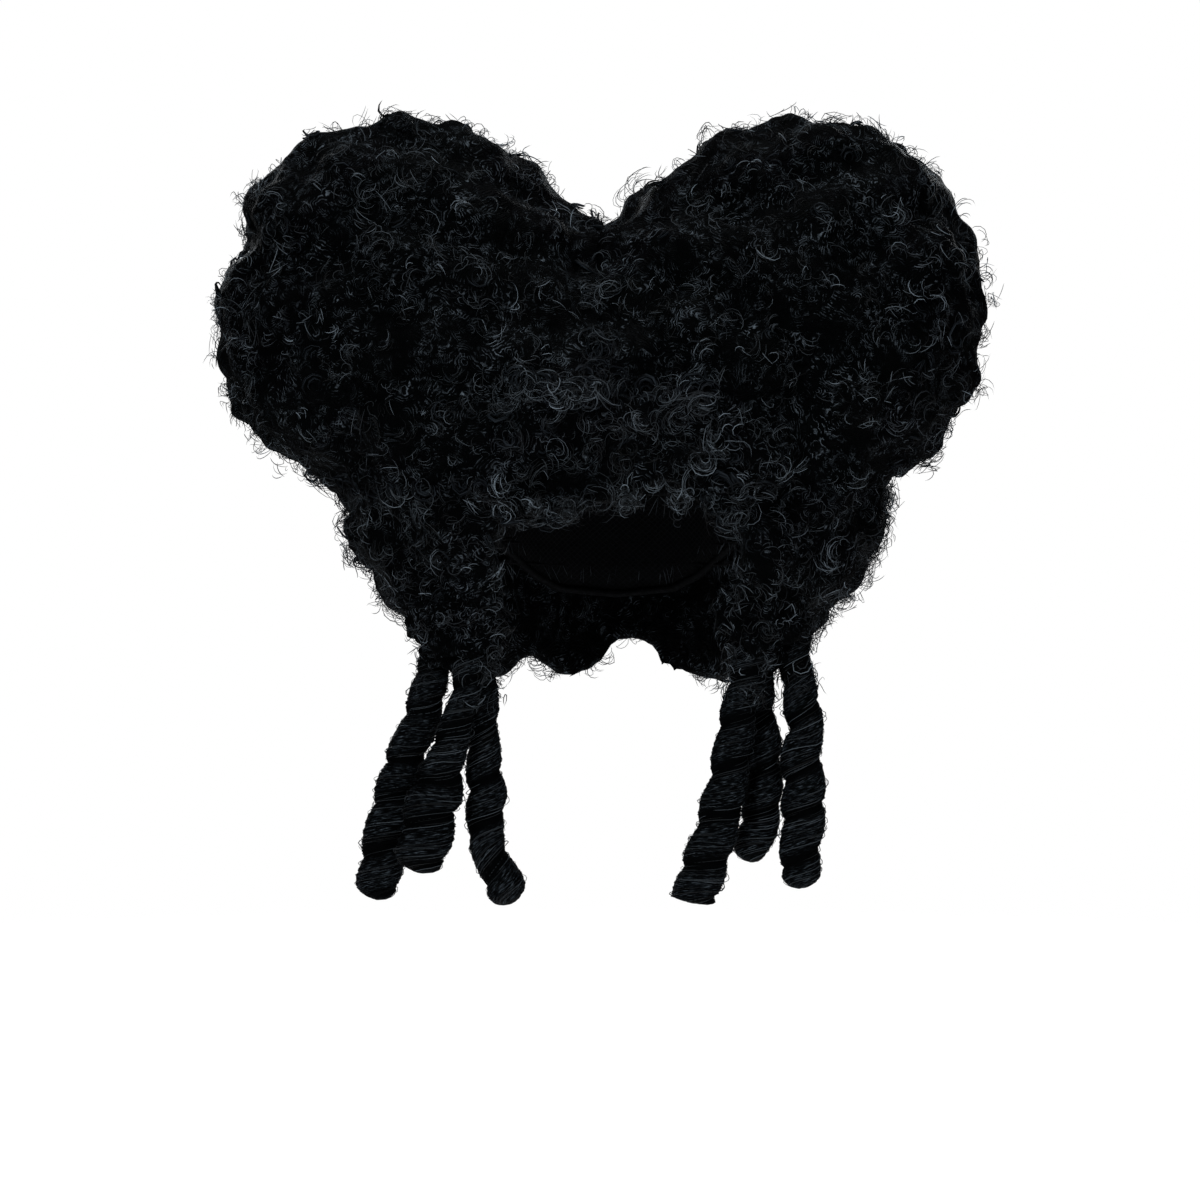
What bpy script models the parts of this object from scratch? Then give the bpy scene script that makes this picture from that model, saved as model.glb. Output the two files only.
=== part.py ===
# A curled wig with two tall lobes, side hair, back hair and six hanging ringlets.
# Metres, +Z up, the face opening towards -Y. The origin is the crown of the head,
# where the top of the cap rests on it.

import math
import random
from collections import namedtuple

import bmesh
import bpy
import numpy as np
from mathutils import Matrix, Vector

# Clearance kept between neighbouring pieces.
GAP = 0.0003

# The head that the cap is made for, and the cap's wall.
HEAD_HALF_WIDTH = 0.079
HEAD_HALF_LENGTH = 0.098
HEAD_DOME_HEIGHT = 0.092
CAP_WALL = 0.0018
CAP_DROP = 0.142

# The hair's thickness at its widest, outside the cap, and how far the mass of hair
# stands above the crown and hangs below it.
SIDE_HAIR = 0.1399
BROW_HAIR = 0.0189
NAPE_HAIR = 0.0299
MASS_RISE = 0.134
MASS_DROP = 0.190
LOBE_LEAN = -0.0099

# The opening for the face, and how far the fringe hangs below the crown.
FACE_HALF_WIDTH = 0.0675
BROW_DROP = 0.102

# Round curls that stand out of the mass.
CURL_SPACING = 0.034
CURL_RADIUS = 0.017
CURL_RELIEF = 0.0060
CURL_SEED = 7

# The fringe is a piece of its own in front of the brow.
FRINGE_START = 0.030
FRINGE_BACK = 0.045
FRINGE_TUCK = 0.0020
NAPE_START = 0.025

# Ringlets: bands of hair wound into rolls, one lip to each turn of the band.
RINGLET_LENGTH = 0.165
RINGLET_RADIUS = 0.0137
RINGLET_ROOT = 0.042
RINGLET_PITCH = 0.029
RINGLET_LIP = 0.15
END_DIMPLE = 0.004
RINGLET_SIDES = 12
RINGLET_RINGS = 22

# Sizes that follow from the ones above.
OUTSIDE_CAP = CAP_WALL + GAP
HALF_WIDTH = HEAD_HALF_WIDTH + OUTSIDE_CAP + SIDE_HAIR
FRONT_REACH = HEAD_HALF_LENGTH + OUTSIDE_CAP + BROW_HAIR
BACK_REACH = HEAD_HALF_LENGTH + OUTSIDE_CAP + NAPE_HAIR
BEYOND = 2 * HALF_WIDTH
RAY_START = (LOBE_LEAN / 2, 0.0, -MASS_DROP / 10)
RAY_STEP = HALF_WIDTH / 450

HAIR_COLOUR = (0.010, 0.011, 0.014, 1.0)
CAP_COLOUR = (0.016, 0.016, 0.018, 1.0)

# The mass of hair is pinched in at PINCH, where the lobes end and the side hair starts.
# A level is a share of the height of the mass. Widths are shares of HALF_WIDTH from the
# lean line, depths are shares of their reach, and square is the corner power.
PINCH = 0.342
Section = namedtuple("Section", "level inner outer front back lean square")
SECTIONS = (
    Section(0.000, -0.35, 0.35, 0.70, 0.80, 0.0, 4.0),
    Section(0.037, -0.40, 0.40, 0.73, 0.85, 0.0, 4.0),
    Section(0.086, -0.49, 0.49, 0.77, 0.89, 0.0, 3.6),
    Section(0.123, -0.56, 0.56, 0.80, 0.92, 0.0, 3.2),
    Section(0.169, -0.62, 0.62, 0.84, 0.95, 0.1, 2.8),
    Section(0.231, -0.68, 0.68, 0.90, 0.98, 0.1, 2.5),
    Section(0.292, -0.71, 0.71, 0.96, 1.00, 0.2, 2.3),
    Section(PINCH, -0.68, 0.68, 0.99, 1.00, 0.3, 2.2),
    Section(0.394, -0.80, 0.85, 1.00, 0.99, 0.6, 2.1),
    Section(0.462, -0.70, 0.95, 0.97, 0.97, 1.0, 2.1),
    Section(0.554, -0.40, 0.99, 0.91, 0.91, 1.0, 2.1),
    Section(0.665, -0.14, 1.00, 0.83, 0.83, 1.0, 2.1),
    Section(0.769, -0.05, 0.98, 0.74, 0.75, 1.0, 2.1),
    Section(0.800, 0.02, 0.96, 0.71, 0.72, 1.0, 2.1),
    Section(0.862, 0.10, 0.91, 0.63, 0.65, 1.0, 2.1),
    Section(0.923, 0.19, 0.84, 0.52, 0.54, 1.0, 2.1),
    Section(0.969, 0.31, 0.73, 0.38, 0.40, 1.0, 2.1),
    Section(1.000, 0.46, 0.58, 0.14, 0.16, 1.0, 2.1),
)

# The edge of the fringe, from the wearer's right to the left, as shares of
# FACE_HALF_WIDTH and of BROW_DROP.
FacePoint = namedtuple("FacePoint", "across drop")
FACE_EDGE = (
    FacePoint(-1.00, 1.000),
    FacePoint(-0.55, 0.990),
    FacePoint(-0.33, 0.971),
    FacePoint(-0.22, 0.892),
    FacePoint(0.04, 0.902),
    FacePoint(0.20, 0.843),
    FacePoint(0.30, 0.765),
    FacePoint(0.44, 0.784),
    FacePoint(0.65, 0.882),
    FacePoint(0.74, 0.971),
    FacePoint(1.00, 1.000),
)

# How far the cap reaches down, as shares of CAP_DROP, at angles from the front to the back.
CapEdge = namedtuple("CapEdge", "degrees drop")
CAP_EDGE = (
    CapEdge(0, 0.465),
    CapEdge(35, 0.507),
    CapEdge(60, 0.732),
    CapEdge(78, 0.831),
    CapEdge(95, 0.732),
    CapEdge(120, 0.789),
    CapEdge(150, 0.972),
    CapEdge(180, 1.000),
)

# Each ringlet goes from its root in the side hair to its blunt end. Across is a share of
# the way from the head's side to the widest hair, forward of FRONT_REACH, down of
# RINGLET_LENGTH and thick of RINGLET_RADIUS.
Bend = namedtuple("Bend", "across forward down thick")
RINGLETS = {
    "ringlet_right_outer": (
        Bend(0.137, 0.403, 0.000, 0.62),
        Bend(0.161, 0.412, 0.158, 0.75),
        Bend(0.196, 0.420, 0.327, 0.75),
        Bend(0.264, 0.420, 0.485, 0.82),
        Bend(0.324, 0.420, 0.648, 0.86),
        Bend(0.368, 0.429, 0.818, 0.91),
        Bend(0.394, 0.429, 0.988, 0.83),
    ),
    "ringlet_right_middle": (
        Bend(0.007, 0.605, 0.073, 0.81),
        Bend(0.027, 0.613, 0.255, 0.94),
        Bend(0.095, 0.622, 0.448, 0.98),
        Bend(0.148, 0.622, 0.606, 0.98),
        Bend(0.183, 0.630, 0.733, 1.00),
        Bend(0.213, 0.630, 0.897, 0.97),
    ),
    "ringlet_right_inner": (
        Bend(-0.014, 0.395, 0.061, 0.62),
        Bend(-0.015, 0.403, 0.267, 0.71),
        Bend(-0.030, 0.412, 0.503, 0.71),
        Bend(-0.042, 0.420, 0.679, 0.72),
        Bend(-0.048, 0.437, 0.818, 0.77),
        Bend(-0.088, 0.462, 0.915, 0.83),
        Bend(-0.123, 0.479, 1.000, 0.78),
    ),
    "ringlet_left_inner": (
        Bend(0.000, 0.613, 0.048, 0.81),
        Bend(-0.025, 0.622, 0.242, 0.94),
        Bend(-0.073, 0.622, 0.424, 0.98),
        Bend(-0.113, 0.630, 0.600, 1.00),
        Bend(-0.161, 0.630, 0.739, 1.00),
        Bend(-0.215, 0.639, 0.873, 1.00),
        Bend(-0.254, 0.639, 0.988, 0.95),
    ),
    "ringlet_left_middle": (
        Bend(0.039, 0.387, 0.036, 0.62),
        Bend(0.032, 0.395, 0.291, 0.68),
        Bend(0.007, 0.395, 0.509, 0.75),
        Bend(-0.007, 0.403, 0.691, 0.80),
        Bend(-0.037, 0.412, 0.861, 0.77),
    ),
    "ringlet_left_outer": (
        Bend(0.141, 0.487, 0.012, 0.69),
        Bend(0.151, 0.504, 0.218, 0.83),
        Bend(0.163, 0.513, 0.352, 0.91),
        Bend(0.162, 0.521, 0.473, 0.92),
        Bend(0.158, 0.521, 0.648, 0.97),
        Bend(0.154, 0.521, 0.800, 0.97),
        Bend(0.139, 0.521, 0.945, 0.89),
    ),
}


def clear_scene():
    for old in list(bpy.data.objects):
        bpy.data.objects.remove(old, do_unlink=True)


def add_object(name, bm):
    bmesh.ops.recalc_face_normals(bm, faces=bm.faces)
    mesh = bpy.data.meshes.new(name)
    bm.to_mesh(mesh)
    bm.free()
    obj = bpy.data.objects.new(name, mesh)
    bpy.context.scene.collection.objects.link(obj)
    return obj


def box(name, low, high):
    bm = bmesh.new()
    middle = [(a + b) / 2 for a, b in zip(low, high)]
    spans = [b - a for a, b in zip(low, high)]
    place = Matrix.Translation(middle) @ Matrix.Diagonal((*spans, 1.0))
    bmesh.ops.create_cube(bm, size=1.0, matrix=place)
    return add_object(name, bm)


def combined(obj, other, operation):
    """Replaces the mesh of obj by its Boolean with other."""
    modifier = obj.modifiers.new("cut", "BOOLEAN")
    modifier.operation = operation
    modifier.solver = "EXACT"
    modifier.object = other
    graph = bpy.context.evaluated_depsgraph_get()
    mesh = bpy.data.meshes.new_from_object(obj.evaluated_get(graph))
    obj.modifiers.clear()
    old = obj.data
    obj.data = mesh
    bpy.data.meshes.remove(old)


def copied(obj, name):
    twin = obj.copy()
    twin.data = obj.data.copy()
    twin.name = name
    bpy.context.scene.collection.objects.link(twin)
    return twin


def keep_largest(obj):
    """Leaves out loose crumbs that a cut made."""
    bm = bmesh.new()
    bm.from_mesh(obj.data)
    bmesh.ops.triangulate(bm, faces=bm.faces)
    bmesh.ops.remove_doubles(bm, verts=bm.verts, dist=0.00002)
    bmesh.ops.dissolve_degenerate(bm, edges=bm.edges, dist=0.00002)
    left = set(bm.verts)
    groups = []
    while left:
        reached = {left.pop()}
        ahead = list(reached)
        while ahead:
            for edge in ahead.pop().link_edges:
                for vert in edge.verts:
                    if vert in left:
                        left.discard(vert)
                        reached.add(vert)
                        ahead.append(vert)
        groups.append(reached)
    largest = max(groups, key=len)
    crumbs = [vert for group in groups if group is not largest for vert in group]
    bmesh.ops.delete(bm, geom=crumbs, context="VERTS")
    bm.to_mesh(obj.data)
    bm.free()


def column(name):
    return np.array([getattr(row, name) for row in SECTIONS])


def in_mass(points):
    level = (points[..., 2] + MASS_DROP) / (MASS_RISE + MASS_DROP)
    at = {name: np.interp(level, column("level"), column(name)) for name in Section._fields}
    side = np.abs(points[..., 0] - LOBE_LEAN * at["lean"])
    middle = HALF_WIDTH * (at["inner"] + at["outer"]) / 2
    half = HALF_WIDTH * (at["outer"] - at["inner"]) / 2
    front = FRONT_REACH * at["front"]
    back = BACK_REACH * at["back"]
    across = np.abs((side - middle) / half)
    deep = np.abs((points[..., 1] - (back - front) / 2) / ((front + back) / 2))
    power = at["square"]
    return (across**power + deep**power <= 1) & (level >= 0) & (level <= 1)


def hair_mass():
    """The whole mass as one closed form, with its curls standing out."""
    bm = bmesh.new()
    bmesh.ops.create_icosphere(bm, subdivisions=5, radius=1.0)
    rays = np.array([vert.co.normalized() for vert in bm.verts])
    steps = np.arange(0.0, BEYOND, RAY_STEP)
    start = np.array(RAY_START)
    reach = np.zeros(len(rays))
    for number, ray in enumerate(rays):
        reach[number] = steps[in_mass(start + steps[:, None] * ray)].max()
    for vert, ray, far in zip(bm.verts, rays, reach):
        vert.co = start + ray * far
    bmesh.ops.smooth_vert(
        bm, verts=bm.verts, factor=0.25, use_axis_x=True, use_axis_y=True, use_axis_z=True
    )
    bm.normal_update()
    places = np.array([vert.co for vert in bm.verts])
    chooser = random.Random(CURL_SEED)
    order = list(range(len(places)))
    chooser.shuffle(order)
    curls = []
    for number in order:
        spans = [np.linalg.norm(places[number] - places[other]) for other in curls]
        if not spans or min(spans) > CURL_SPACING:
            curls.append(number)
    for vert, place in zip(bm.verts, places):
        away = np.linalg.norm(places[curls] - place, axis=1).min()
        vert.co += vert.normal * CURL_RELIEF * (1 - (away / CURL_RADIUS) ** 2)
    return add_object("hair_mass", bm)


def ring(bm, middle, sideways, towards):
    """One loop of points; sideways and towards hold the reach for each angle."""
    count = len(sideways)
    turns = [2 * math.pi * step / count for step in range(count)]
    return [
        bm.verts.new(middle + sideways[step] * math.cos(turn) + towards[step] * math.sin(turn))
        for step, turn in enumerate(turns)
    ]


def bridge(bm, first, second):
    count = len(first)
    for step in range(count):
        after = (step + 1) % count
        bm.faces.new((first[step], first[after], second[after], second[step]))


def close_end(bm, loop, tip):
    point = bm.verts.new(tip)
    count = len(loop)
    for step in range(count):
        bm.faces.new((loop[step], loop[(step + 1) % count], point))


def head_hollow():
    """The room inside the hair: the dome over the cap, then straight down."""
    sides, steps = 32, 8
    slack = 1 / (math.cos(math.pi / sides) * math.cos(math.pi / 4 / steps))
    across = (HEAD_HALF_WIDTH + OUTSIDE_CAP) * slack
    along = (HEAD_HALF_LENGTH + OUTSIDE_CAP) * slack
    rise = (HEAD_DOME_HEIGHT + OUTSIDE_CAP) * slack
    bm = bmesh.new()
    loops = []
    for step in range(1, steps + 1):
        tilt = math.pi / 2 * step / steps
        middle = Vector((0, 0, -HEAD_DOME_HEIGHT + rise * math.cos(tilt)))
        wide = Vector((across * math.sin(tilt), 0, 0))
        deep = Vector((0, along * math.sin(tilt), 0))
        loops.append(ring(bm, middle, [wide] * sides, [deep] * sides))
    floor = Vector((0, 0, -MASS_DROP - BEYOND))
    loops.append(ring(bm, floor, [wide] * sides, [deep] * sides))
    for first, second in zip(loops, loops[1:]):
        bridge(bm, first, second)
    close_end(bm, loops[0], (0, 0, rise - HEAD_DOME_HEIGHT))
    close_end(bm, loops[-1], floor)
    return add_object("head_hollow", bm)


def face_opening():
    outline = [(row.across * FACE_HALF_WIDTH, -row.drop * BROW_DROP) for row in FACE_EDGE]
    outline += [(side * FACE_HALF_WIDTH, -MASS_DROP - BEYOND) for side in (1, -1)]
    bm = bmesh.new()
    face = bm.faces.new([bm.verts.new((x, -BEYOND, z)) for x, z in outline])
    pushed = bmesh.ops.extrude_face_region(bm, geom=[face])["geom"]
    moved = [item for item in pushed if isinstance(item, bmesh.types.BMVert)]
    bmesh.ops.translate(bm, verts=moved, vec=(0, BEYOND, 0))
    return add_object("face_opening", bm)


def wig_cap():
    """A thin fabric dome with ear tabs and a deep nape."""
    bm = bmesh.new()
    sides, levels = 28, 7
    walls = []
    for grow in (0.0, CAP_WALL):
        across = HEAD_HALF_WIDTH + grow
        along = HEAD_HALF_LENGTH + grow
        rise = HEAD_DOME_HEIGHT + grow
        loops = []
        for level in range(1, levels + 1):
            loop = []
            for step in range(sides):
                turn = 2 * math.pi * step / sides
                degrees = abs(math.degrees(turn))
                degrees = min(degrees, 360 - degrees)
                drop = CAP_DROP * np.interp(
                    degrees, [row.degrees for row in CAP_EDGE], [row.drop for row in CAP_EDGE]
                )
                share = level / levels
                below = max(0.0, drop - HEAD_DOME_HEIGHT)
                tilt = math.acos(max(0.0, 1 - drop / HEAD_DOME_HEIGHT)) * share
                out = math.sin(tilt)
                height = -HEAD_DOME_HEIGHT + rise * math.cos(tilt) - below * share**3
                loop.append(
                    bm.verts.new((across * out * math.sin(turn), -along * out * math.cos(turn), height))
                )
            loops.append(loop)
        for first, second in zip(loops, loops[1:]):
            bridge(bm, first, second)
        close_end(bm, loops[0], (0, 0, grow))
        walls.append(loops[-1])
    bridge(bm, *walls)
    return add_object("wig_cap", bm)


def bend_at(rows, side, share):
    """A point of the ringlet's smooth path, and its radius, at a share of its length."""
    place = share * (len(rows) - 1)
    first = min(int(place), len(rows) - 2)
    t = place - first
    picked = [rows[max(0, min(len(rows) - 1, first + step))] for step in (-1, 0, 1, 2)]
    a, b, c, d = (np.array(row) for row in picked)
    out = 0.5 * (2 * b + (c - a) * t + (2 * a - 5 * b + 4 * c - d) * t**2 + (3 * b - a - 3 * c + d) * t**3)
    across = HEAD_HALF_WIDTH + out[0] * (HALF_WIDTH - HEAD_HALF_WIDTH)
    height = RINGLET_ROOT - MASS_DROP - out[2] * RINGLET_LENGTH
    return Vector((side * across, -out[1] * FRONT_REACH, height)), out[3] * RINGLET_RADIUS


def ringlet(name, grow=0.0):
    """A roll of hair with the helical step of the wound band."""
    rows = RINGLETS[name]
    side = -1 if "right" in name else 1
    bm = bmesh.new()
    loops = []
    travelled = 0.0
    before = None
    for number in range(RINGLET_RINGS):
        share = number / (RINGLET_RINGS - 1)
        middle, radius = bend_at(rows, side, share)
        ahead, _ = bend_at(rows, side, min(1.0, share + 0.01))
        behind, _ = bend_at(rows, side, max(0.0, share - 0.01))
        along = (ahead - behind).normalized()
        wide = along.cross(Vector((0, 1, 0))).normalized()
        deep = wide.cross(along).normalized()
        travelled += (middle - before).length if before else 0.0
        before = middle
        reach = []
        for step in range(RINGLET_SIDES):
            turn = step / RINGLET_SIDES
            phase = (travelled / RINGLET_PITCH + side * turn) % 1.0
            lip = phase / 0.8 if phase < 0.8 else (1 - phase) / 0.2
            reach.append(radius * (1 - RINGLET_LIP + RINGLET_LIP * lip) + grow)
        loops.append(ring(bm, middle, [wide * far for far in reach], [deep * far for far in reach]))
    for first, second in zip(loops, loops[1:]):
        bridge(bm, first, second)
    top, top_radius = bend_at(rows, side, 0.0)
    end, _ = bend_at(rows, side, 1.0)
    close_end(bm, loops[0], top + Vector((0, 0, top_radius * 0.5 + grow)))
    close_end(bm, loops[-1], end + Vector((0, 0, END_DIMPLE - grow)))
    return add_object(name, bm)


def with_material(obj, name, colour, roughness):
    material = bpy.data.materials.new(name)
    material.use_nodes = True
    shader = material.node_tree.nodes["Principled BSDF"]
    shader.inputs["Base Color"].default_value = colour
    shader.inputs["Roughness"].default_value = roughness
    obj.data.materials.clear()
    obj.data.materials.append(material)


def piece_of(mass, name, low, high):
    obj = copied(mass, name)
    room = box(name + "_room", low, high)
    combined(obj, room, "INTERSECT")
    bpy.data.objects.remove(room, do_unlink=True)
    return obj


def build():
    clear_scene()
    mass = hair_mass()
    for cutter in (head_hollow(), face_opening()):
        combined(mass, cutter, "DIFFERENCE")
        bpy.data.objects.remove(cutter, do_unlink=True)

    far = BEYOND
    side = FACE_HALF_WIDTH - FRINGE_TUCK
    low = (-side, -far, -MASS_DROP)
    high = (side, -FRINGE_BACK, -FRINGE_START)
    fringe_room = box("fringe_room", low, high)
    low = (GAP - side, -far, -MASS_DROP)
    high = (side - GAP, -FRINGE_BACK - GAP, -FRINGE_START - GAP)
    fringe = piece_of(mass, "front_hair", low, high)
    combined(mass, fringe_room, "DIFFERENCE")
    bpy.data.objects.remove(fringe_room, do_unlink=True)
    above = PINCH * (MASS_RISE + MASS_DROP) - MASS_DROP + GAP / 2
    below = above - GAP
    behind = NAPE_START + GAP
    pieces = [
        fringe,
        piece_of(mass, "hair_lobe_right", (-far, -far, above), (LOBE_LEAN - GAP / 2, far, far)),
        piece_of(mass, "hair_lobe_left", (LOBE_LEAN + GAP / 2, -far, above), (far, far, far)),
        piece_of(mass, "side_hair_right", (-far, -far, -far), (0, NAPE_START, below)),
        piece_of(mass, "side_hair_left", (0, -far, -far), (far, NAPE_START, below)),
        piece_of(mass, "back_hair", (-far, behind, -far), (far, far, below)),
    ]
    bpy.data.objects.remove(mass, do_unlink=True)

    by_name = {obj.name: obj for obj in pieces}
    for name in RINGLETS:
        sleeve = ringlet(name, GAP)
        hair = by_name["side_hair_right" if "right" in name else "side_hair_left"]
        combined(hair, sleeve, "DIFFERENCE")
        bpy.data.objects.remove(sleeve, do_unlink=True)
        pieces.append(ringlet(name))
    for obj in pieces:
        keep_largest(obj)
        with_material(obj, obj.name + "_hair", HAIR_COLOUR, 0.45)
    with_material(wig_cap(), "cap_net", CAP_COLOUR, 0.85)


build()
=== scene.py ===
import math

import bmesh
import bpy
import numpy as np
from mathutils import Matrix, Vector, noise
from mathutils.bvhtree import BVHTree
from mathutils.kdtree import KDTree


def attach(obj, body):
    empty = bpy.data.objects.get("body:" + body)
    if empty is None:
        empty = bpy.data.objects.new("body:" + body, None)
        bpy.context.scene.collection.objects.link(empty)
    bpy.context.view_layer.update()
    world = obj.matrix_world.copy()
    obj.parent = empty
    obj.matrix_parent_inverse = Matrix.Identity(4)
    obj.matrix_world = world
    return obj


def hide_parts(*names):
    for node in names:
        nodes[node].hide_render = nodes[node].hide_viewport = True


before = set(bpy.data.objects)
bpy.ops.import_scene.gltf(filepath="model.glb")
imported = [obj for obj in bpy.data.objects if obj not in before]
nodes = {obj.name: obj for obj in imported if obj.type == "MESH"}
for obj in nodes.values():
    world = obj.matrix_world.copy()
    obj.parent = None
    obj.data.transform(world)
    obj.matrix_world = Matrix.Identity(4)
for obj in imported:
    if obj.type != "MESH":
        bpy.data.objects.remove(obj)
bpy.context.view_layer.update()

print("frame loaded:", len(nodes), "nodes")


def link(obj):
    bpy.context.scene.collection.objects.link(obj)
    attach(obj, "root")
    return obj


def lengths(vectors):
    return np.linalg.norm(vectors, axis=-1, keepdims=True)


def unit(vectors):
    return vectors / np.maximum(lengths(vectors), 1e-9)


def cadPoints(name):
    mesh = nodes[name].data
    points = np.empty(len(mesh.vertices) * 3)
    mesh.vertices.foreach_get("co", points)
    return points.reshape(-1, 3)


def cadTriangles(name):
    mesh = nodes[name].data
    mesh.calc_loop_triangles()
    faces = np.empty(len(mesh.loop_triangles) * 3, np.int32)
    mesh.loop_triangles.foreach_get("vertices", faces)
    return faces.reshape(-1, 3)


# A linked copy of a node's solid, and its shape with the split points merged.
def mergedCopy(name, title):
    obj = link(bpy.data.objects.new(title, nodes[name].data.copy()))
    bm = bmesh.new()
    bm.from_mesh(obj.data)
    bmesh.ops.remove_doubles(bm, verts=bm.verts, dist=0.00001)
    return obj, bm


# Puts the shape in bm into a mesh, smooth and with one material.
def fillMesh(mesh, bm, material):
    for face in bm.faces:
        face.smooth = True
    bm.to_mesh(mesh)
    bm.free()
    mesh.materials.clear()
    mesh.materials.append(material)
    print("  ", mesh.name, sum(len(face.vertices) - 2 for face in mesh.polygons), "triangles")


# A new piece from the shape in bm.
def finishPiece(bm, name, material):
    bmesh.ops.recalc_face_normals(bm, faces=bm.faces)
    mesh = bpy.data.meshes.new(name)
    fillMesh(mesh, bm, material)
    return link(bpy.data.objects.new(name, mesh))


# Closes a grid that was wrapped into a tube: its seam is merged and its ends are filled.
def closeTube(bm, merge):
    bmesh.ops.remove_doubles(bm, verts=bm.verts, dist=merge)
    bmesh.ops.holes_fill(bm, edges=[edge for edge in bm.edges if edge.is_boundary], sides=0)


def smoothed(bm, verts, passes):
    for _ in range(passes):
        bmesh.ops.smooth_vert(bm, verts=verts, factor=0.5, use_axis_x=True, use_axis_y=True, use_axis_z=True)


# How far the strand map moves on from one hair to the next, so that no two look alike.
mapShift = (7.31, 3.17)


# Many hairs or locks at once: each is a closed tube with pointed ends, joined in one mesh.
# paths is hairs x points x 3, radii hairs x points, axes hairs x 3, tones one number a hair.
def hairMesh(name, paths, radii, axes, tones, material, sides):
    count, steps, _ = paths.shape
    along = unit(np.gradient(paths, axis=1))
    axis = np.broadcast_to(axes[:, None, :], paths.shape)
    across = unit(np.cross(along, axis))
    up = unit(np.cross(across, along))
    inner = slice(1, steps - 1)
    rings = []
    for corner in range(sides):
        turn = 2 * math.pi * corner / sides
        offset = math.cos(turn) * across[:, inner] + math.sin(turn) * up[:, inner]
        rings.append(paths[:, inner] + offset * radii[:, inner, None])
    body = np.stack(rings, axis=2).reshape(count, -1, 3)
    points = np.concatenate([body, paths[:, [0, -1]]], axis=1)
    each = points.shape[1]
    first, last = each - 2, each - 1
    faces, maps = [], []
    for ring in range(steps - 3):
        for corner in range(sides):
            after = (corner + 1) % sides
            a, b = ring * sides + corner, ring * sides + after
            low, high, left, right = ring + 1, ring + 2, corner / sides, (corner + 1) / sides
            faces += [(a, b, b + sides), (a, b + sides, a + sides)]
            maps += [((left, low), (right, low), (right, high)), ((left, low), (right, high), (left, high))]
    end = (steps - 3) * sides
    for corner in range(sides):
        after = (corner + 1) % sides
        left, right, middle = corner / sides, (corner + 1) / sides, (corner + 0.5) / sides
        faces += [(first, after, corner), (last, end + corner, end + after)]
        maps += [((middle, 0), (right, 1), (left, 1)), ((middle, steps - 1), (left, steps - 2), (right, steps - 2))]
    faces = (np.array(faces)[None] + (np.arange(count) * each)[:, None, None]).reshape(-1, 3)
    mesh = bpy.data.meshes.new(name)
    mesh.from_pydata(points.reshape(-1, 3), [], faces, shade_flat=False)
    tone = mesh.attributes.new("tone", "FLOAT", "POINT")
    tone.data.foreach_set("value", np.repeat(tones, each).astype(np.float32))
    if sides > 3:
        flat = np.array(maps, float)[None] * np.array([1.0, 1.0 / (steps - 1)])
        shift = np.arange(count)[:, None] * mapShift
        wind = mesh.uv_layers.new(name="wind")
        wind.data.foreach_set("uv", (flat + shift[:, None, None, :]).reshape(-1).astype(np.float32))
    mesh.validate()
    mesh.materials.append(material)
    obj = bpy.data.objects.new(name, mesh)
    print("  ", name, count, "hairs,", len(faces), "triangles")
    return link(obj)


# A node group that reads a place and some numbers, and gives other numbers.
def group(name, numbers, results):
    tree = bpy.data.node_groups.new(name, "ShaderNodeTree")
    tree.interface.new_socket("Place", in_out="INPUT", socket_type="NodeSocketVector")
    for way, titles in (("INPUT", numbers), ("OUTPUT", results)):
        for title in titles:
            tree.interface.new_socket(title, in_out=way, socket_type="NodeSocketFloat")
    return tree, tree.nodes.new("NodeGroupInput").outputs, tree.nodes.new("NodeGroupOutput")


# An output is linked to its input, and anything else is set there as a constant.
def setInputs(tree, node, values):
    for title, value in values.items():
        if hasattr(value, "is_linked"):
            tree.links.new(value, node.inputs[title])
        else:
            node.inputs[title].default_value = value


def addNode(tree, kind, values=None, **settings):
    node = tree.nodes.new(kind)
    for key, value in settings.items():
        setattr(node, key, value)
    setInputs(tree, node, values or {})
    return node


def mathNode(tree, operation, *inputs):
    return addNode(tree, "ShaderNodeMath", dict(enumerate(inputs)), operation=operation).outputs[0]


def vectorNode(tree, operation, *inputs):
    node = addNode(tree, "ShaderNodeVectorMath", dict(enumerate(inputs)), operation=operation)
    return node.outputs["Value" if operation == "LENGTH" else "Vector"]


def between(tree, factor, low, high):
    values = {"A": low, "B": high, "Factor": factor}
    return addNode(tree, "ShaderNodeMix", values, data_type="RGBA").outputs["Result"]


# 0 below low and 1 above high.
def ramp(tree, value, low, high, **settings):
    values = {"Value": value, "From Min": low, "From Max": high}
    return addNode(tree, "ShaderNodeMapRange", values, **settings).outputs["Result"]


def noiseNode(tree, place, scale, detail, roughness=0.5):
    values = {"Vector": place, "Scale": scale, "Detail": detail, "Roughness": roughness}
    return addNode(tree, "ShaderNodeTexNoise", values).outputs


def sineNode(tree, value, factor):
    return mathNode(tree, "SINE", mathNode(tree, "MULTIPLY", value, factor))


def weightedSum(tree, one, oneShare, two, twoShare):
    parts = (mathNode(tree, "MULTIPLY", *pair) for pair in ((one, oneShare), (two, twoShare)))
    return mathNode(tree, "ADD", *parts)


# Noises are scale, detail and roughness. A range gives 0 at its low end and 1 at its high end.
curledPattern = {
    "drift": (95.0, 2.0),
    "grain": (240.0, 2.0),
    "grainShare": 0.9,
    "waves": (6.2832, 15.1),
    "waveShares": (0.34, 0.16),
    "broken": (190.0, 3.0, 0.7),
    # The last two ranges place the painted glints: on the crests of the rings, broken up by noise.
    "paintedGlintHeights": (0.62, 0.88),
    "paintedGlintPlaces": (0.49, 0.62),
}


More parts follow.
